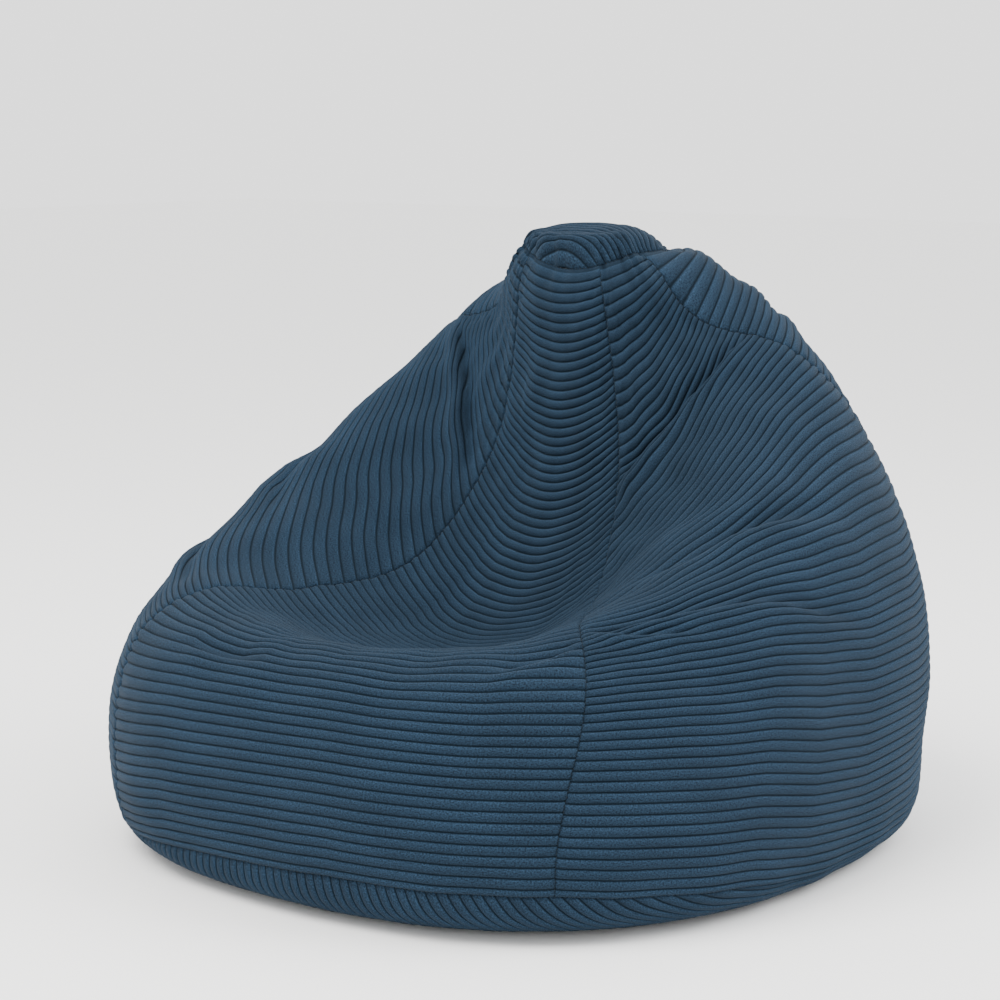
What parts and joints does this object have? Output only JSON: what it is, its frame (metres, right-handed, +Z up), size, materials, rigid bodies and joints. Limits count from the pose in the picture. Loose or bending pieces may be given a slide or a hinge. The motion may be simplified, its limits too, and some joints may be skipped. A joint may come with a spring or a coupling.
{
  "type": "bean bag chair",
  "caption": "Bean bag chair in navy jumbo corduroy with a bucket seat, raised back, round crown cap, child-safe zipped cover and a zipped inner liner of beads.",
  "frame": {"origin": "on the floor, under the middle of the chair's bounding box", "axes": "+Z up; the sitter faces -Y, so the backrest and crown are towards +Y; +X is to the sitter's left when seated"},
  "size_m": [0.7598, 0.7814, 0.6052],
  "materials": {
    "corduroy": "matte",
    "sewing_thread": "satin",
    "zip_tape": "matte",
    "zip_coil": "satin",
    "zip_stop": "satin",
    "zip_slider": "satin",
    "label_cloth": "satin",
    "liner_cloth": "matte",
    "liner_zip_tape": "matte",
    "liner_zip_coil": "satin",
    "liner_zip_slider": "satin",
    "foam_beads": "matte"
  },
  "bodies": {
    "chair": {"front_panel": "corduroy", "right_panel": "corduroy", "back_panel": "corduroy", "left_panel": "corduroy", "base_panel": "corduroy", "crown_cap": "corduroy", "front_right_seam_thread": "sewing_thread", "back_right_seam_thread": "sewing_thread", "back_left_seam_thread": "sewing_thread", "front_left_seam_thread": "sewing_thread", "crown_seam_thread": "sewing_thread", "base_seam_thread": "sewing_thread", "cover_zip_upper_tape": "zip_tape", "cover_zip_lower_tape": "zip_tape", "cover_zip_upper_coil": "zip_coil", "cover_zip_lower_coil": "zip_coil", "cover_zip_start_stop": "zip_stop", "cover_zip_end_stop": "zip_stop", "cover_zip_garage": "corduroy", "care_label": "label_cloth", "liner_front_panel": "liner_cloth", "liner_right_panel": "liner_cloth", "liner_back_panel": "liner_cloth", "liner_left_panel": "liner_cloth", "liner_base": "liner_cloth", "liner_crown": "liner_cloth", "liner_zip_front_tape": "liner_zip_tape", "liner_zip_back_tape": "liner_zip_tape", "liner_zip_front_coil": "liner_zip_coil", "liner_zip_back_coil": "liner_zip_coil", "liner_zip_start_stop": "zip_stop", "liner_zip_end_stop": "zip_stop", "bead_fill": "foam_beads"},
    "cover_slider": {"cover_zip_slider": "zip_slider"},
    "liner_slider": {"liner_zip_slider": "liner_zip_slider"}
  },
  "joints": [
    {"name": "cover_zip_slide", "type": "hinge", "parent": "chair", "child": "cover_slider", "pos_m": [0, -0.1765, 0.036], "axis": [0, 0, 1], "range_deg": [0, 50.3]},
    {"name": "liner_zip_slide", "type": "slide", "parent": "chair", "child": "liner_slider", "axis": [1, 0, 0], "range_m": [0, 0.484]}
  ]
}
